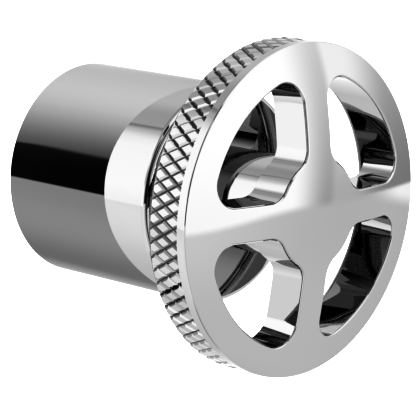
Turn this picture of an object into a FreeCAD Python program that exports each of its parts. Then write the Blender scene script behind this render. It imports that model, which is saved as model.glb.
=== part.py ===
import FreeCAD, Part
import math
import os

# Wall-mounted tap handle: a four-spoke handwheel with a knurled rim, carried on a
# neck in front of a plain round sleeve. Millimetres. Y is the turning axis: the wheel
# faces -Y, and the sleeve opens towards +Y. The origin is the centre of the stem
# bore's mouth. Two spokes stand upright along Z.

# sleeve
sleeve_dia = 40.0
sleeve_length = 36.0
sleeve_wall = 2.5
sleeve_front_wall = 5.0
sleeve_front_round = 1.1
sleeve_rear_chamfer = 0.5
stem_setback = 10.0          # from the sleeve's open end in to the stem bore's mouth

# handwheel
wheel_dia = 60.0
rim_depth = 9.0
rim_width = 5.4
dome_rise = 4.1              # the crown of the face over its own edge
web_thickness = 7.3
finger_gap = 10.4            # from the rim's back to the sleeve's front
neck_dia = 18.0
neck_round = 0.8
face_edge_round = 0.4
rim_back_round = 1.7

# windows between the spokes
spoke_width = 6.4
hub_dia = 20.0
window_outer_round = 3.9
window_hub_round = 3.7
window_front_chamfer = 0.45

# diamond knurl on the rim
rim_lip = 1.85               # plain band in front of the knurl
knurl_count = 74
knurl_angle = 29.5           # degrees between a groove and the axis
knurl_depth = 0.45
knurl_middle = 3.4           # from the lip's shoulder to the middle row of diamonds
knurl_relief = 0.05          # crests of the knurl below the plain band
knurl_root = 1.0             # ring of metal that the grooves are cut in
rim_back_chamfer = 0.6
rim_back_chamfer_run = 0.8

# stem adapter
adapter_dia = 16.0
adapter_floor = 4.0
bore_pilot_dia = 8.4
bore_pilot_length = 5.0
spline_count = 20
spline_minor_dia = 7.5
spline_major_dia = 8.2
spline_length = 9.0
key_dia = 10.0               # keyed nose, with two flats, through the sleeve into the neck
key_flats = 8.0
key_engagement = 5.0         # how far the nose reaches into the neck
key_end_gap = 0.3
key_clearance = 0.05

# clamp screw, a socket cap screw from inside the stem bore
clamp_dia = 4.0
clamp_thread = 10.5          # thread held in the neck
clamp_head_dia = 7.0
clamp_head_height = 4.0
clamp_hex = 3.0
clamp_hex_depth = 2.0
clamp_hole_clearance = 0.15
clamp_hole_spare = 1.5

# grub screw under the sleeve
grub_dia = 5.0
grub_length = 6.0
grub_hex = 2.5
grub_hex_depth = 2.5
grub_point = 1.0
grub_back_off = 0.3          # point held clear of the bore until the stem is in
grub_setback = 9.0           # from the stem bore's mouth
grub_access_clearance = 0.5

# places along the axis
sleeve_rear_y = stem_setback
sleeve_front_y = sleeve_rear_y - sleeve_length
sleeve_floor_y = sleeve_front_y + sleeve_front_wall
rim_back_y = sleeve_front_y - finger_gap
rim_front_y = rim_back_y - rim_depth
crown_y = rim_front_y - dome_rise
knurl_front_y = rim_front_y + rim_lip
key_end_y = sleeve_front_y - key_engagement
bore_floor_y = sleeve_floor_y + adapter_floor

# radii worked out from the sizes above
wheel_r = wheel_dia / 2
rim_inner_r = wheel_r - rim_width
knurl_crest_r = wheel_r - knurl_relief
knurl_root_r = wheel_r - knurl_root
dome_r = (wheel_r ** 2 + dome_rise ** 2) / (2 * dome_rise)
dome_centre_y = crown_y + dome_r
web_back_r = dome_r - web_thickness

cut_margin = 1.0             # how far a cutting tool runs past what it cuts
spline_overrun = 0.2         # how far a serration's tool reaches inside the bore's wall
same_place = 1e-3            # points nearer than this are taken as one
axis_y = FreeCAD.Vector(0, 1, 0)
origin = FreeCAD.Vector(0, 0, 0)


def at(r, y):
    # a point of a turning profile
    return FreeCAD.Vector(r, y, 0)


def line(a, b):
    return Part.LineSegment(a, b).toShape()


def arc(a, middle, b):
    return Part.Arc(a, middle, b).toShape()


def turned(edges):
    # a closed profile turned about the Y axis
    face = Part.Face(Part.Wire(edges))
    return face.revolve(origin, axis_y, 360)


def turned_points(points):
    closed = points + [points[0]]
    edges = [line(a, b) for a, b in zip(closed, closed[1:])]
    return turned(edges)


def rod(dia, y_from, y_to):
    return Part.makeCylinder(dia / 2, y_to - y_from, at(0, y_from), axis_y)


def hex_rod(across_flats, length, base, direction):
    # a hexagonal bar from base along direction
    corner_r = across_flats / math.sqrt(3)
    corners = []
    for i in range(6):
        angle = math.radians(60 * i)
        corners.append(FreeCAD.Vector(corner_r * math.cos(angle), corner_r * math.sin(angle), 0))
    outline = Part.makePolygon(corners + [corners[0]])
    bar = Part.Face(outline).extrude(FreeCAD.Vector(0, 0, length))
    turn = FreeCAD.Rotation(FreeCAD.Vector(0, 0, 1), direction)
    bar.Placement = FreeCAD.Placement(base, turn)
    return bar


def sphere_y(radius, r):
    # height of a sphere about the dome's centre, at radius r from the axis
    return dome_centre_y - math.sqrt(radius ** 2 - r ** 2)


def round_beside_sphere(size, sphere_r, rod_r, side):
    # arc of a round between a sphere about the dome's centre and a rod about the axis;
    # side is -1 for a round inside the rod and 1 for one outside it
    r = rod_r + side * size
    centre = at(r, sphere_y(sphere_r - size, r))
    dome_centre = at(0, dome_centre_y)
    on_sphere = dome_centre + (centre - dome_centre).normalize() * sphere_r
    on_rod = at(rod_r, centre.y)
    halfway = (on_sphere - centre).normalize() + (on_rod - centre).normalize()
    return on_sphere, centre + halfway.normalize() * size, on_rod


def is_circle(edge, r, y):
    box = edge.BoundBox
    wide = max(box.XMax, -box.XMin, box.ZMax, -box.ZMin)
    return max(abs(wide - r), abs(box.YMin - y), abs(box.YMax - y)) < same_place


def round_circle(solid, size, r, y):
    # a fillet on the round edges of radius r at y
    return solid.makeFillet(size, [e for e in solid.Edges if is_circle(e, r, y)])


def wheel_blank():
    # turned profile of the face, rim, web back and neck, before windows and knurl
    neck_r = neck_dia / 2
    face_mid_r = wheel_r / 2
    web_mid_r = (neck_r + rim_inner_r) / 2
    face_end, face_edge, rim_start = round_beside_sphere(face_edge_round, dome_r, wheel_r, -1)
    web_end, web_corner, neck_start = round_beside_sphere(neck_round, web_back_r, neck_r, 1)
    web_rim = at(rim_inner_r, sphere_y(web_back_r, rim_inner_r))
    edges = [
        arc(at(0, crown_y), at(face_mid_r, sphere_y(dome_r, face_mid_r)), face_end),
        arc(face_end, face_edge, rim_start),
        line(rim_start, at(wheel_r, knurl_front_y)),
        line(at(wheel_r, knurl_front_y), at(knurl_root_r, knurl_front_y)),
        line(at(knurl_root_r, knurl_front_y), at(knurl_root_r, rim_back_y)),
        line(at(knurl_root_r, rim_back_y), at(rim_inner_r, rim_back_y)),
        line(at(rim_inner_r, rim_back_y), web_rim),
        arc(web_rim, at(web_mid_r, sphere_y(web_back_r, web_mid_r)), web_end),
        arc(web_end, web_corner, neck_start),
        line(neck_start, at(neck_r, sleeve_front_y)),
        line(at(neck_r, sleeve_front_y), at(0, sleeve_front_y)),
        line(at(0, sleeve_front_y), at(0, crown_y)),
    ]
    blank = turned(edges)
    return round_circle(blank, rim_back_round, rim_inner_r, rim_back_y)


def window_outline():
    # one window, between the +X and +Z spokes: two straight sides along the spokes, an
    # outer arc under the rim and an inner arc round the hub, with rounded corners
    side = spoke_width / 2
    hub_r = hub_dia / 2
    outer_x = side + window_outer_round
    outer_z = math.sqrt((rim_inner_r - window_outer_round) ** 2 - outer_x ** 2)
    outer_angle = math.atan2(outer_z, outer_x)
    inner_x = side + window_hub_round
    inner_z = math.sqrt((hub_r + window_hub_round) ** 2 - inner_x ** 2)
    inner_angle = math.atan2(inner_z, inner_x)
    half_turn = math.pi
    diagonal = math.pi / 4

    def polar(x, z, r, angle):
        return FreeCAD.Vector(x + r * math.cos(angle), 0, z + r * math.sin(angle))

    def mirrored(p):
        return FreeCAD.Vector(p.z, 0, p.x)

    arc_end = polar(0, 0, rim_inner_r, outer_angle)
    outer_mid = polar(outer_x, outer_z, window_outer_round, (half_turn + outer_angle) / 2)
    side_top = FreeCAD.Vector(side, 0, outer_z)
    side_foot = FreeCAD.Vector(side, 0, inner_z)
    inner_mid = polar(inner_x, inner_z, window_hub_round, half_turn + inner_angle / 2)
    hub_end = polar(0, 0, hub_r, inner_angle)
    return [
        arc(mirrored(arc_end), polar(0, 0, rim_inner_r, diagonal), arc_end),
        arc(arc_end, outer_mid, side_top),
        line(side_top, side_foot),
        arc(side_foot, inner_mid, hub_end),
        arc(hub_end, polar(0, 0, hub_r, diagonal), mirrored(hub_end)),
        arc(mirrored(hub_end), mirrored(inner_mid), mirrored(side_foot)),
        line(mirrored(side_foot), mirrored(side_top)),
        arc(mirrored(side_top), mirrored(outer_mid), mirrored(arc_end)),
    ]


def cut_windows(blank):
    face = Part.Face(Part.Wire(window_outline()))
    start_y = crown_y - cut_margin
    run = rim_back_y - start_y
    tool = face.extrude(FreeCAD.Vector(0, run, 0))
    tool.translate(FreeCAD.Vector(0, start_y, 0))
    wheel = blank
    for i in range(4):
        turned_tool = tool.copy()
        turned_tool.rotate(origin, axis_y, 90 * i)
        wheel = wheel.cut(turned_tool)
    return wheel.removeSplitter()


def window_front_edge(edge):
    # true for an edge of a window's outline on the domed face
    if edge.Degenerated or edge.BoundBox.DiagonalLength > rim_inner_r * 2:
        return False
    centre = at(0, dome_centre_y)
    points = edge.discretize(5)
    if any(abs((p - centre).Length - dome_r) > same_place for p in points):
        return False
    radii = [math.hypot(p.x, p.z) for p in points]
    return min(radii) > neck_dia / 2 + neck_round and max(radii) < rim_inner_r + same_place


def groove(angle, lean):
    # one straight V-groove across the knurled ring, leaning to one side of the axis
    centre_y = knurl_front_y + knurl_middle
    lift = knurl_depth
    half_width = knurl_depth + lift
    half_run = (rim_depth + 2 * cut_margin) / 2 / math.cos(math.radians(knurl_angle))
    outward = FreeCAD.Vector(1, 0, 0)
    along = FreeCAD.Vector(0, 1, math.tan(math.radians(lean * knurl_angle))).normalize()
    across = outward.cross(along)
    middle = FreeCAD.Vector(knurl_crest_r, centre_y, 0) - along * half_run
    root = middle - outward * knurl_depth
    left = middle + outward * lift + across * half_width
    right = middle + outward * lift - across * half_width
    tool = Part.Face(Part.makePolygon([root, left, right, root])).extrude(along * 2 * half_run)
    tool.rotate(origin, axis_y, angle)
    return tool


def crest_outline(r, y):
    # many-sided outline with a corner on the middle line of every diamond, so that each
    # diamond's crest is two flats that lie within 0.01 mm of the round
    corners = []
    for i in range(2 * knurl_count):
        angle = math.pi * i / knurl_count
        corners.append(FreeCAD.Vector(r * math.cos(angle), y, r * math.sin(angle)))
    return Part.makePolygon(corners + [corners[0]])


def knurled_ring():
    outlines = [
        crest_outline(knurl_crest_r, knurl_front_y),
        crest_outline(knurl_crest_r, rim_back_y - rim_back_chamfer_run),
        crest_outline(knurl_crest_r - rim_back_chamfer, rim_back_y),
    ]
    ring = Part.makeLoft(outlines, True, True)
    ring = ring.cut(rod(2 * knurl_root_r, knurl_front_y, rim_back_y))
    pitch = 360 / knurl_count
    tools = []
    for i in range(knurl_count):
        for lean in (-1, 1):
            tools.append(groove((i + 0.5) * pitch, lean))
    return ring.cut(tools)


def key_bar(clearance, y_from, y_to):
    # round bar with two flats, grown by clearance all over
    bar = rod(key_dia + 2 * clearance, y_from, y_to)
    across = key_flats + 2 * clearance
    block = Part.makeBox(across, y_to - y_from, key_dia * 2, FreeCAD.Vector(-across / 2, y_from, -key_dia))
    return bar.common(block)


def handwheel():
    wheel = cut_windows(wheel_blank())
    wheel = wheel.makeChamfer(window_front_chamfer, [e for e in wheel.Edges if window_front_edge(e)])
    socket = key_bar(key_clearance, key_end_y - key_end_gap, sleeve_front_y)
    thread_end_y = key_end_y - clamp_thread - clamp_hole_spare
    wheel = wheel.cut(socket).cut(rod(clamp_dia, thread_end_y, key_end_y))
    return wheel.fuse(knurled_ring()).removeSplitter()


def sleeve():
    outer_r = sleeve_dia / 2
    inner_r = outer_r - sleeve_wall
    body = turned_points([
        at(0, sleeve_front_y),
        at(outer_r, sleeve_front_y),
        at(outer_r, sleeve_rear_y - sleeve_rear_chamfer),
        at(outer_r - sleeve_rear_chamfer, sleeve_rear_y),
        at(inner_r + sleeve_rear_chamfer, sleeve_rear_y),
        at(inner_r, sleeve_rear_y - sleeve_rear_chamfer),
        at(inner_r, sleeve_floor_y),
        at(0, sleeve_floor_y),
    ])
    body = round_circle(body, sleeve_front_round, outer_r, sleeve_front_y)
    body = body.cut(key_bar(key_clearance, sleeve_front_y, sleeve_floor_y))
    access_r = grub_dia / 2 + grub_access_clearance
    down = FreeCAD.Vector(0, 0, -1)
    access = Part.makeCylinder(access_r, outer_r, at(0, -grub_setback), down)
    return body.cut(access)


def stem_adapter():
    body = rod(adapter_dia, sleeve_floor_y, 0)
    body = body.fuse(key_bar(0, key_end_y, sleeve_floor_y)).removeSplitter()
    body = body.cut(rod(bore_pilot_dia, -bore_pilot_length, 0))
    body = body.cut(rod(spline_minor_dia, bore_floor_y, 0))
    body = body.cut(rod(clamp_dia + 2 * clamp_hole_clearance, key_end_y, bore_floor_y))
    spline_end_y = -bore_pilot_length - spline_length
    body = body.cut(rod(spline_major_dia, bore_floor_y, spline_end_y))
    body = body.cut(spline_tools(spline_end_y, -bore_pilot_length))
    down = FreeCAD.Vector(0, 0, -1)
    return body.cut(Part.makeCylinder(grub_dia / 2, adapter_dia, at(0, -grub_setback), down))


def spline_tools(y_from, y_to):
    # V-shaped serrations round the stem bore
    major_r = spline_major_dia / 2
    start_r = spline_minor_dia / 2 - spline_overrun
    half_angle = math.radians(360 / spline_count / 2)
    foot_half = start_r * math.sin(half_angle)
    foot_r = start_r * math.cos(half_angle)
    outline = [
        FreeCAD.Vector(foot_r, y_from, -foot_half),
        FreeCAD.Vector(major_r, y_from, 0),
        FreeCAD.Vector(foot_r, y_from, foot_half),
        FreeCAD.Vector(foot_r, y_from, -foot_half),
    ]
    tooth = Part.Face(Part.makePolygon(outline)).extrude(FreeCAD.Vector(0, y_to - y_from, 0))
    tools = []
    for i in range(spline_count):
        tool = tooth.copy()
        tool.rotate(origin, axis_y, i * 360 / spline_count)
        tools.append(tool)
    return tools


def clamp_screw():
    head_y = bore_floor_y + clamp_head_height
    screw = rod(clamp_head_dia, bore_floor_y, head_y)
    screw = screw.fuse(rod(clamp_dia, key_end_y - clamp_thread, bore_floor_y))
    socket = hex_rod(clamp_hex, clamp_hex_depth, at(0, head_y - clamp_hex_depth), axis_y)
    return screw.removeSplitter().cut(socket)


def grub_screw():
    down = FreeCAD.Vector(0, 0, -1)
    point_r = bore_pilot_dia / 2 + grub_back_off
    tip = FreeCAD.Vector(0, -grub_setback, -point_r)
    point = Part.makeCone(grub_dia / 2 - grub_point, grub_dia / 2, grub_point, tip, down)
    shank_start = tip + down * grub_point
    shank = Part.makeCylinder(grub_dia / 2, grub_length - grub_point, shank_start, down)
    socket_start = tip + down * (grub_length - grub_hex_depth)
    screw = point.fuse(shank).removeSplitter()
    return screw.cut(hex_rod(grub_hex, grub_hex_depth, socket_start, down))


pieces = {
    "handwheel": handwheel(),
    "sleeve": sleeve(),
    "stem_adapter": stem_adapter(),
    "clamp_screw": clamp_screw(),
    "grub_screw": grub_screw(),
}

os.makedirs("parts", exist_ok=True)
for name, shape in pieces.items():
    solid = shape.Solids[0]
    solid.exportStep("parts/" + name + ".step")
    print(name, len(shape.Solids), round(solid.Volume, 1), solid.isValid())
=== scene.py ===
import math
import bpy
from mathutils import Matrix, Vector


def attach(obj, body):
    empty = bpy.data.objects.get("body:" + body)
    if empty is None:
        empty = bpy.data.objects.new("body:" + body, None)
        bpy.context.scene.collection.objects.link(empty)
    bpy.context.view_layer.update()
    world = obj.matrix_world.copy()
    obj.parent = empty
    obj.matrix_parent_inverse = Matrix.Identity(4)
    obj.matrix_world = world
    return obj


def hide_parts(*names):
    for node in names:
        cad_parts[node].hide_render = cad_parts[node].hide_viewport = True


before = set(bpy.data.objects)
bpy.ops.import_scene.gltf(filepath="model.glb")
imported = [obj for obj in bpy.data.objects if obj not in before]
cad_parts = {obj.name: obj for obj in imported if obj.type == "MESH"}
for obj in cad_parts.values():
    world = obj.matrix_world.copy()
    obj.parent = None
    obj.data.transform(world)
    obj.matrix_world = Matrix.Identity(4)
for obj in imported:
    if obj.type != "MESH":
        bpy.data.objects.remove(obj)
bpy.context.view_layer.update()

mm = 0.001


def clearSelection():
    for obj in bpy.context.selected_objects:
        obj.select_set(False)


clearSelection()


# Shader maths on sockets

class Socket:
    # one output in a node tree, with the arithmetic that the materials use
    def __init__(self, tree, out):
        self.tree = tree
        self.out = out

    def maths(self, kind, *others):
        values = dict(enumerate((self, *others)))
        return self.tree.node("ShaderNodeMath", {"operation": kind}, values)[0]

    def __add__(self, other):
        return self.maths("ADD", other)

    def __mul__(self, other):
        return self.maths("MULTIPLY", other)

    def __sub__(self, other):
        return self.maths("SUBTRACT", other)

    def __rsub__(self, other):
        return self * -1 + other

    def __truediv__(self, other):
        return self.maths("DIVIDE", other)

    __radd__ = __add__
    __rmul__ = __mul__

    def rise(self, low, high):
        # 0 below low, 1 above high, smooth between
        settings = {"interpolation_type": "SMOOTHSTEP"}
        return self.tree.node("ShaderNodeMapRange", settings, {0: self, 1: low, 2: high})[0]

    def band(self, start, full, fade, end):
        # 1 from full to fade, 0 before start and after end
        return self.rise(start, full) * (1 - self.rise(fade, end))

    def hump(self, middle, halfWidth):
        # 1 at middle, fading to 0 at halfWidth either side
        return 1 - (self - middle).maths("ABSOLUTE").rise(0, halfWidth)


class NodeTree:
    def __init__(self, tree):
        self.tree = tree
        tree.nodes.clear()

    def node(self, kind, settings=None, sockets=None):
        made = self.tree.nodes.new(kind)
        for name, value in (settings or {}).items():
            if name == "stops":
                self.setStops(made.color_ramp, value)
            else:
                setattr(made, name, value)
        for name, value in (sockets or {}).items():
            if isinstance(value, Socket):
                self.tree.links.new(value.out, made.inputs[name])
            else:
                made.inputs[name].default_value = value
        return [Socket(self, out) for out in made.outputs]

    def setStops(self, ramp, stops):
        while len(ramp.elements) > 1:
            ramp.elements.remove(ramp.elements[-1])
        ramp.elements[0].position, ramp.elements[0].color = stops[0][0], grey(stops[0][1])
        for place, value in stops[1:]:
            ramp.elements.new(place).color = grey(value)

    def mix(self, factor, a, b):
        settings = {"data_type": "RGBA"}
        return self.node("ShaderNodeMix", settings, {0: factor, 6: a, 7: b})[2]

    def noise(self, place, size, detail=3.0):
        sockets = {"Vector": place, "Scale": size, "Detail": detail}
        return self.node("ShaderNodeTexNoise", {}, sockets)[0]

    def objectPlace(self):
        # the place on the piece, its distance from the turning axis, and its y
        place = self.node("ShaderNodeTexCoord")[3]  # object coordinates
        x, y, z = self.node("ShaderNodeSeparateXYZ", {}, {0: place})
        return place, (x * x + z * z).maths("SQRT"), y

    def surface(self, sockets):
        shader = self.node("ShaderNodeBsdfPrincipled", {}, sockets)[0]
        self.node("ShaderNodeOutputMaterial", {}, {"Surface": shader})


def grey(value):
    return (value, value, value, 1)


def newMaterial(name):
    material = bpy.data.materials.new(name)
    material.use_nodes = True
    return material, NodeTree(material.node_tree)


def dress(node, material):
    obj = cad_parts[node]
    for slot in obj.material_slots:
        slot.material = material


# Materials

chromeLook = {
    "tint": 0.48,
    "edgeTint": 0.72,
    "roughness": 0.015,
    "hazeRoughness": 0.035,
    "hazeSize": 60.0,        # noise cells per metre
    "haze": (0.45, 0.75),    # from clear to hazy
}


def chromeRoughness(tree, place):
    look = chromeLook
    haze = tree.noise(place, look["hazeSize"])
    spread = look["hazeRoughness"] - look["roughness"]
    return look["roughness"] + haze.rise(*look["haze"]) * spread


knurlLook = {
    # painted shade: the chrome's colour at the roots of the knurl's grooves
    "paintedRootShade": 0.24,
    "crest": 29.95 * mm,     # from the turning axis
    "depth": 0.45 * mm,
    "shade": (0.45, 1.05),   # shares of the depth between which the painted groove shade deepens
    "inner": 29.1 * mm,      # between the rim's windows and the grooves
    "front": -43.58 * mm,
    "backBevel": -37.2 * mm, # the crests fall by 3 in 4 from here back
    "fall": 0.75,
}


def makeKnurledChrome():
    # polished chrome, with painted shade that darkens it towards the roots of the knurl's grooves
    look = knurlLook
    material, tree = newMaterial("polishedChromeKnurl")
    place, fromAxis, y = tree.objectPlace()
    crest = look["crest"] - (y - look["backBevel"]).maths("MAXIMUM", 0) * look["fall"]
    low, high = look["shade"]
    # painted shade in the grooves, deepest at their roots
    paintedGrooveShade = (crest - fromAxis).rise(low * look["depth"], high * look["depth"])
    onKnurl = fromAxis.maths("GREATER_THAN", look["inner"]) * y.maths("GREATER_THAN", look["front"])
    tree.surface({
        "Base Color": tree.mix(paintedGrooveShade * onKnurl, grey(chromeLook["tint"]), grey(look["paintedRootShade"])),
        "Specular Tint": grey(chromeLook["edgeTint"]),
        "Metallic": 1.0,
        "Roughness": chromeRoughness(tree, place),
    })
    return material


ringDetail = 4.0


def turnedMarks(tree, place, fromAxis, y, look):
    # fine rings about the turning axis, and cloudy marks, off a lathe
    ringPlace = tree.node("ShaderNodeCombineXYZ", {}, {0: fromAxis, 1: y})[0]
    rings = tree.noise(ringPlace, look["ringSize"], ringDetail)
    cloud = tree.noise(place, look["cloudSize"])
    tone = (rings * look["ringShare"] + cloud * (1 - look["ringShare"])).rise(*look["contrast"])
    return rings, cloud, tree.mix(tone, look["dark"], look["light"])


boreLook = {
    "light": (0.74, 0.73, 0.71, 1),
    "dark": (0.58, 0.575, 0.56, 1),
    "contrast": (0.35, 0.65),
    "metallic": 0.25,
    "roughness": 0.5,
    "ringRoughness": 0.12,
    "ringSize": 1500.0,
    "ringShare": 0.5,
    "cloudSize": 160.0,
    "radius": 18.2 * mm,     # between the hollow's wall and the outside
    "depth": -22.0 * mm,     # between the hollow's floor and the front face
}


def makeSleeveMetal():
    # polished chrome outside; inside, the plating is thin and shows the turned wall
    look = boreLook
    material, tree = newMaterial("chromeOverTurnedBore")
    place, fromAxis, y = tree.objectPlace()
    inside = fromAxis.maths("LESS_THAN", look["radius"]) * y.maths("GREATER_THAN", look["depth"])
    rings, _, dull = turnedMarks(tree, place, fromAxis, y, look)
    polished = chromeRoughness(tree, place)
    dullRoughness = look["roughness"] + rings * look["ringRoughness"]
    tree.surface({
        "Base Color": tree.mix(inside, grey(chromeLook["tint"]), dull),
        "Specular Tint": grey(chromeLook["edgeTint"]),
        "Metallic": 1 - inside * (1 - look["metallic"]),
        "Roughness": polished + inside * (dullRoughness - polished),
    })
    return material


def ringedMetal(name, look):
    # bare metal off a lathe
    material, tree = newMaterial(name)
    place, fromAxis, y = tree.objectPlace()
    rings, cloud, colour = turnedMarks(tree, place, fromAxis, y, look)
    height = {"Height": rings, "Distance": look["ringHeight"], "Strength": 1.0}
    tree.surface({
        "Base Color": colour,
        "Metallic": 1.0,
        "Roughness": look["roughness"] + cloud * look["roughnessSpread"],
        "Normal": tree.node("ShaderNodeBump", {}, height)[0],
    })
    return material


brassLook = {
    "light": (0.44, 0.365, 0.21, 1),
    "dark": (0.34, 0.27, 0.145, 1),
    "contrast": (0.35, 0.65),
    "roughness": 0.22,
    "roughnessSpread": 0.16,
    "ringSize": 2600.0,
    "ringShare": 0.6,
    "ringHeight": 0.004 * mm,
    "cloudSize": 220.0,
}

steelLook = {
    "light": (0.42, 0.42, 0.43, 1),
    "dark": (0.27, 0.27, 0.29, 1),
    "contrast": (0.35, 0.65),
    "roughness": 0.26,
    "roughnessSpread": 0.18,
    "ringSize": 3400.0,
    "ringShare": 0.6,
    "ringHeight": 0.003 * mm,
    "cloudSize": 500.0,
}

chrome = makeKnurledChrome()
steel = ringedMetal("zincSteel", steelLook)
dress("sleeve", makeSleeveMetal())
dress("stem_adapter", ringedMetal("turnedBrass", brassLook))
dress("clamp_screw", steel)
dress("grub_screw", steel)
print("materials made")


# Handwheel: the CAD wheel again, with smooth light over its dome and its window edges

wheelLook = {
    "domeRadius": 111.805 * mm,
    "crown": -49.5 * mm,
    "knurlInner": 29.0 * mm,
    "smoothAngle": 30.0,     # degrees; the knurl's flanks stay sharp
    "merge": 0.0005 * mm,
    "near": 0.02 * mm,       # a point this close to the dome is on it
    "flat": 0.999,           # a face turned this far towards the axis is the rim's flat back
    "edgeBand": 0.62 * mm,   # how far the windows' small chamfers reach under the dome
    "edgeLean": (0.25, 0.93),
}
domeCentre = Vector((0, wheelLook["crown"] + wheelLook["domeRadius"], 0))


def makePolishedWheel():
    look = wheelLook
    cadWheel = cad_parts["handwheel"]
    wheel = cadWheel.copy()
    wheel.data = cadWheel.data.copy()
    wheel.name = "polishedWheel"
    bpy.context.scene.collection.objects.link(wheel)
    wheel.select_set(True)
    bpy.context.view_layer.objects.active = wheel
    bpy.ops.mesh.customdata_custom_splitnormals_clear()
    bpy.ops.object.mode_set(mode="EDIT")
    bpy.ops.mesh.select_all(action="SELECT")
    bpy.ops.mesh.remove_doubles(threshold=look["merge"])
    bpy.ops.mesh.select_mode(type="FACE")
    bpy.ops.mesh.select_all(action="DESELECT")
    bpy.ops.object.mode_set(mode="OBJECT")
    bpy.ops.object.shade_smooth_by_angle(angle=math.radians(look["smoothAngle"]))
    leadWithFlatFaces(wheel)
    softenWindowEdges(wheel)
    addDomeGroup(wheel)
    weighted = wheel.modifiers.new("weightedNormals", "WEIGHTED_NORMAL")
    weighted.keep_sharp = True
    weighted.use_face_influence = True
    bpy.ops.object.modifier_apply(modifier=weighted.name)
    aimNormalsAtDome(wheel)
    for slot in wheel.material_slots:
        slot.material = chrome
    clearSelection()
    return wheel


def strengthen(strength):
    bpy.ops.object.mode_set(mode="EDIT")
    bpy.ops.mesh.mod_weighted_strength(set=True, face_strength=strength)
    bpy.ops.object.mode_set(mode="OBJECT")


def leadWithFlatFaces(wheel):
    # the rim's flat back keeps its light right up to the rounds beside it
    for face in wheel.data.polygons:
        face.select = abs(face.normal.y) > wheelLook["flat"]
    strengthen("STRONG")


def softenWindowEdges(wheel):
    # the chamfers turn smoothly into the dome and the walls, which keep their own normals
    look = wheelLook
    low, high = look["edgeLean"]
    for face in wheel.data.polygons:
        outward = face.center - domeCentre
        lean = face.normal.dot(outward.normalized())
        inWindow = math.hypot(face.center.x, face.center.z) < look["knurlInner"]
        shallow = outward.length > look["domeRadius"] - look["edgeBand"]
        face.select = inWindow and shallow and low < lean < high
    strengthen("WEAK")
    bpy.ops.object.mode_set(mode="EDIT")
    bpy.ops.mesh.region_to_loop()
    bpy.ops.mesh.mark_sharp(clear=True)
    bpy.ops.object.mode_set(mode="OBJECT")


def addDomeGroup(wheel):
    look = wheelLook
    onDome = [v.index for v in wheel.data.vertices
              if abs((v.co - domeCentre).length - look["domeRadius"]) < look["near"]]
    wheel.vertex_groups.new(name="dome").add(onDome, 1.0, "REPLACE")
    print("dome points", len(onDome))


def aimNormalsAtDome(wheel):
    target = bpy.data.objects.new("domeCentre", None)
    target.location = domeCentre
    bpy.context.scene.collection.objects.link(target)
    bpy.context.view_layer.update()
    radial = wheel.modifiers.new("domeNormals", "NORMAL_EDIT")
    radial.mode = "RADIAL"
    radial.target = target
    radial.vertex_group = "dome"
    bpy.ops.object.modifier_apply(modifier=radial.name)
    bpy.data.objects.remove(target)


wheel = makePolishedWheel()
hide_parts("handwheel")
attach(wheel, "root")
print("handwheel made")


# Studio: a plain pale floor, a mirror ring behind the handle and a soft surround

studio = {
    "floorSize": 6.0,
    "floorDrop": 0.20,       # below the turning axis
    "floorTint": 0.92,
    "floorRoughness": 0.9,
    "ringOuter": 45.7 * mm,
    "ringInner": 19.9 * mm,  # just inside the sleeve's outer wall, so its mouth stays open
    "ringPlace": 10.3 * mm,
    "ringSides": 128,
    "ringTint": 0.78,
    "ringRoughness": 0.02,
    "fillHeight": 1.6,
    "fillSize": 2.0,
    "fillPower": 40,
}


def makeFloor():
    place = (0, 0, -studio["floorDrop"])
    bpy.ops.mesh.primitive_plane_add(size=studio["floorSize"], location=place)
    floor = bpy.context.active_object
    floor.name = "studioFloor"
    material, tree = newMaterial("paleFloor")
    tree.surface({"Base Color": grey(studio["floorTint"]), "Roughness": studio["floorRoughness"]})
    floor.data.materials.append(material)
    floor.visible_glossy = False
    clearSelection()


def makeRing():
    bpy.ops.mesh.primitive_circle_add(vertices=studio["ringSides"], radius=studio["ringOuter"],
                                      fill_type="NGON", location=(0, studio["ringPlace"], 0),
                                      rotation=(math.pi / 2, 0, 0))
    ring = bpy.context.active_object
    ring.name = "reflectorRing"
    bpy.ops.object.mode_set(mode="EDIT")
    bpy.ops.mesh.inset(thickness=studio["ringOuter"] - studio["ringInner"])
    bpy.ops.mesh.delete(type="FACE")
    bpy.ops.object.mode_set(mode="OBJECT")
    material, tree = newMaterial("reflector")
    tree.surface({
        "Base Color": grey(studio["ringTint"]),
        "Metallic": 1.0,
        "Roughness": studio["ringRoughness"],
    })
    ring.data.materials.append(material)
    ring.visible_camera = False
    ring.visible_shadow = False
    clearSelection()


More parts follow.
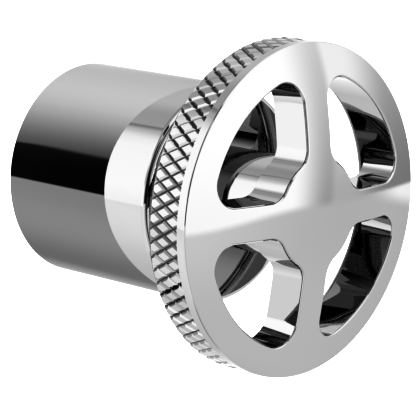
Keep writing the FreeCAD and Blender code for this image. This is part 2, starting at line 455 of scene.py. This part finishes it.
surround = {
    # grey levels by turn: 0 is the front, 90 the right, -90 the left, 180 the wall
    "upper": [(-180, 0.60), (-163, 0.575), (-161.8, 0.40), (-160.8, 0.40), (-158, 0.77),
              (-153, 0.88), (-146, 0.955), (-134, 0.975), (-94, 1.0), (-84, 0.80), (-63, 0.10),
              (-44, 0.10), (-40, 0.34), (-35, 0.50), (-29, 0.65), (-21, 0.79), (-10, 0.905),
              (2, 0.97), (14, 1.0), (85, 1.0), (125, 0.9), (140, 0.72), (166, 0.69), (180, 0.60)],
    "lower": [(-180, 0.735), (-160, 0.76), (-136, 0.86), (-133, 0.79), (-72, 0.87), (-60, 0.66),
              (-44, 0.59), (-36, 0.645), (14, 0.69), (84, 0.70), (105, 1.0), (135, 1.0),
              (158, 0.74), (180, 0.735)],
    "overhead": [(-180, 0.47), (-150, 0.47), (-132, 0.58), (-78, 0.58), (-66, 0.82), (-25, 0.96),
                 (110, 0.97), (150, 0.66), (180, 0.47)],
    "underneath": [(-180, 0.60), (-140, 0.45), (-70, 0.45), (-30, 0.66), (85, 0.67), (110, 0.88),
                   (155, 0.85), (180, 0.60)],
    # where one of them gives way to the next, in degrees of height
    "overheadFrom": (42, 54),
    "underneathFrom": (-62, -48),
    "horizon": (-11.2, -9.6),
    # between which turns the horizon drops, and by how many degrees
    "horizonDrops": [(-100, -70, -2.3), (-30, 14, 4.1), (14, 44, -2.4)],
    "rightHorizon": (-9.85, -9.3),
    "rightFrom": (58, 67),
    # towards the wall, by the direction's y, with a dark patch on the left
    "wallFrom": (0.715, 0.76),
    "wall": 0.60,
    "darkWall": {"level": 0.03, "until": (0.86, 0.90), "side": (-0.42, -0.28)},
}

# changes of the light above the horizon; a pair called at is a middle and half a width
fold = {"turn": (40, 51, 100, 130), "level": 0.667, "perDegree": 0.0095}
rightSide = {
    "turn": (51, 53.5, 84, 96),
    "level": 0.93,
    "fall": 0.27,
    "fallTurn": (58, 72),
    "foot": 0.30,
    "footHeight": (-10, 8),
}
nearHorizon = {"height": (-12, 4), "frontAt": (10, 60), "backLeft": (-125, -110), "loss": 0.04}

# changes of the light below the horizon
lift = {"turn": (0, 14, 14, 46), "height": (-28, -12), "gain": 0.07}
dip = {"at": (56, 22), "height": (-24, -12), "loss": 0.025}
foot = {"at": (18, 50), "height": (-40, -32), "loss": 0.155}
strip = {
    "turn": (64, 78, 86, 92),
    "height": (-12.1, -10.4),
    "levelAt": 79,           # the strip's edge rises to the left of this turn
    "slope": 0.09,
    "gain": 0.27,
}

# dark panels with soft edges: where each begins, is full, fades and ends, and what it takes away;
# an edge past 90 degrees of height is never met
panels = {
    "frontLeft": {"turn": (-80, -47, -40.2, -39.4), "height": (-91, -90, 17, 20.5), "share": 0.82},
    "gap": {"turn": (-27, -16, 2, 14), "height": (-12, -3, 24, 32), "share": 0.5, "lean": 0.6},
    "left": {"turn": (-116, -104, -86, -76), "height": (4, 14, 54, 66), "share": 0.4,
             "faintAt": (30, 12), "faintBy": 0.3},
    "highLeftWall": {"turn": (-162, -156, -146, -134), "height": (36, 44, 90, 91), "share": 0.26},
    "lowRight": {"turn": (116, 124, 142, 150), "height": (-26, -18, -8, -2), "share": 0.57},
}

# a dark arc over the left, which the wheel's edge round and the grooves show
arcLook = {
    "axis": (0.491, -0.163, 0.856),
    "place": 0.566,
    "halfWidth": 0.12,
    "edge": (0.1, 0.6),
    "front": (-0.88, -0.82),
    "open": (-0.765, -0.745, -0.605, -0.585),  # a break that the mirror ring looks through
    "back": (-0.12, 0.06),
    "right": (0.0, 0.12),
    "share": 0.92,
}


def byTurn(tree, turn, stops):
    places = [((angle + 180) / 360, level) for angle, level in stops]
    return tree.node("ShaderNodeValToRGB", {"stops": places}, {0: turn / 360 + 0.5})[0]


def between(share, a, b):
    return a + (b - a) * share


def shade(level, turn, height, panel):
    return level * (1 - turn.band(*panel["turn"]) * height.band(*panel["height"]) * panel["share"])


def upperLevel(tree, turn, height):
    level = shade(byTurn(tree, turn, surround["upper"]), turn, height, panels["frontLeft"])
    # a soft fold at the front right, then a duller right side
    foldLevel = height * fold["perDegree"] + fold["level"]
    level = between(turn.band(*fold["turn"]), level, foldLevel)
    sideLevel = rightSide["level"] - turn.rise(*rightSide["fallTurn"]) * rightSide["fall"]
    sideLevel = sideLevel * (1 - (1 - height.rise(*rightSide["footHeight"])) * rightSide["foot"])
    level = between(turn.band(*rightSide["turn"]), level, sideLevel)
    around = turn.hump(*nearHorizon["frontAt"]) + (1 - turn.rise(*nearHorizon["backLeft"]))
    return level - (1 - height.rise(*nearHorizon["height"])) * around * nearHorizon["loss"]


def lowerLevel(tree, turn, height):
    level = byTurn(tree, turn, surround["lower"])
    level = level + turn.band(*lift["turn"]) * height.rise(*lift["height"]) * lift["gain"]
    level = level - turn.hump(*dip["at"]) * height.rise(*dip["height"]) * dip["loss"]
    # a thin bright strip low on the right
    tilted = height + (turn - strip["levelAt"]) * strip["slope"]
    level = level + turn.band(*strip["turn"]) * tilted.rise(*strip["height"]) * strip["gain"]
    return level - turn.hump(*foot["at"]) * (1 - height.rise(*foot["height"])) * foot["loss"]


def addPanels(level, turn, height):
    level = shade(level, turn, height, panels["highLeftWall"])
    level = shade(level, turn, height, panels["lowRight"])
    level = shade(level, turn - height * panels["gap"]["lean"], height, panels["gap"])
    # the left panel is fainter at mid height
    left = dict(panels["left"])
    left["share"] = left["share"] - height.hump(*left["faintAt"]) * left["faintBy"]
    return shade(level, turn, height, left)


def arcShare(x, y, z):
    look = arcLook
    along = x * look["axis"][0] + y * look["axis"][1] + z * look["axis"][2]
    arc = along.hump(look["place"], look["halfWidth"]).rise(*look["edge"])
    arc = arc * y.rise(*look["front"]) * (1 - y.band(*look["open"]))
    return arc * (1 - x.rise(*look["right"])) * (1 - y.rise(*look["back"])) * look["share"]


def makeSurround():
    # the level is the grey that one bounce off the chrome shows
    look = surround
    world = bpy.data.worlds.new("softSurround")
    bpy.context.scene.world = world
    world.use_nodes = True
    tree = NodeTree(world.node_tree)
    direction = tree.node("ShaderNodeTexCoord")[0]  # in a world, the way that the light comes from
    x, y, z = tree.node("ShaderNodeSeparateXYZ", {}, {0: direction})
    degree = 180 / math.pi
    height = z.maths("ARCSINE") * degree
    turn = x.maths("ARCTAN2", y * -1) * degree
    edge = height
    for start, end, drop in look["horizonDrops"]:
        edge = edge + turn.rise(start, end) * drop
    right = turn.rise(*look["rightFrom"])
    above = between(right, edge.rise(*look["horizon"]), height.rise(*look["rightHorizon"]))
    level = between(above, lowerLevel(tree, turn, height), upperLevel(tree, turn, height))
    level = between(height.rise(*look["overheadFrom"]), level, byTurn(tree, turn, look["overhead"]))
    level = addPanels(level, turn, height) * (1 - arcShare(x, y, z))
    below = 1 - height.rise(*look["underneathFrom"])
    level = between(below, level, byTurn(tree, turn, look["underneath"]))
    onWall = y.rise(*look["wallFrom"])
    level = between(onWall, level, look["wall"])
    dark = look["darkWall"]
    darkShare = onWall * (1 - y.rise(*dark["until"])) * (1 - x.rise(*dark["side"]))
    level = between(darkShare, level, dark["level"]) / chromeLook["tint"]
    colour = tree.node("ShaderNodeCombineColor", {}, {0: level, 1: level, 2: level})[0]
    background = tree.node("ShaderNodeBackground", {}, {"Color": colour})[0]
    tree.node("ShaderNodeOutputWorld", {}, {"Surface": background})


def makeFill():
    bpy.ops.object.light_add(type="AREA", location=(0, 0, studio["fillHeight"]))
    fill = bpy.context.active_object
    fill.name = "floorFill"
    fill.data.shape = "SQUARE"
    fill.data.size = studio["fillSize"]
    fill.data.energy = studio["fillPower"]
    fill.visible_glossy = False
    clearSelection()


makeFloor()
makeRing()
makeSurround()
makeFill()
print("studio made")


# Camera, at the photograph's viewing angle

view = {
    "turn": 46.51,           # degrees from +Y towards +X
    "drop": 11.08,           # looking down
    "roll": 1.54,
    "distance": 437.15 * mm,
    "aimRight": -16.8066 * mm,
    "aimUp": 0.5168 * mm,
    "aimAlong": -45.4 * mm,  # the rim's front edge, on the turning axis
    "lens": 214.68,
    "sensor": 36.0,
    "clipStart": 10 * mm,
    "gamma": 0.4545,
}


def makeCamera():
    turn = math.radians(view["turn"])
    drop = math.radians(view["drop"])
    roll = math.radians(view["roll"])
    ahead = Vector((math.sin(turn) * math.cos(drop), math.cos(turn) * math.cos(drop), -math.sin(drop)))
    level = Vector((math.cos(turn), -math.sin(turn), 0))
    upright = level.cross(ahead)
    right = math.cos(roll) * level + math.sin(roll) * upright
    up = math.cos(roll) * upright - math.sin(roll) * level
    aim = Vector((0, view["aimAlong"], 0)) + right * view["aimRight"] + up * view["aimUp"]
    camera = bpy.data.objects.new("camera", bpy.data.cameras.new("camera"))
    bpy.context.scene.collection.objects.link(camera)
    turned = Matrix((right, up, -ahead)).transposed().to_4x4()
    camera.matrix_world = Matrix.Translation(aim - ahead * view["distance"]) @ turned
    camera.data.sensor_width = view["sensor"]
    camera.data.lens = view["lens"]
    camera.data.clip_start = view["clipStart"]
    bpy.context.scene.camera = camera


makeCamera()
bpy.context.scene.view_settings.view_transform = "Standard"
bpy.context.scene.view_settings.gamma = view["gamma"]
print("camera set")
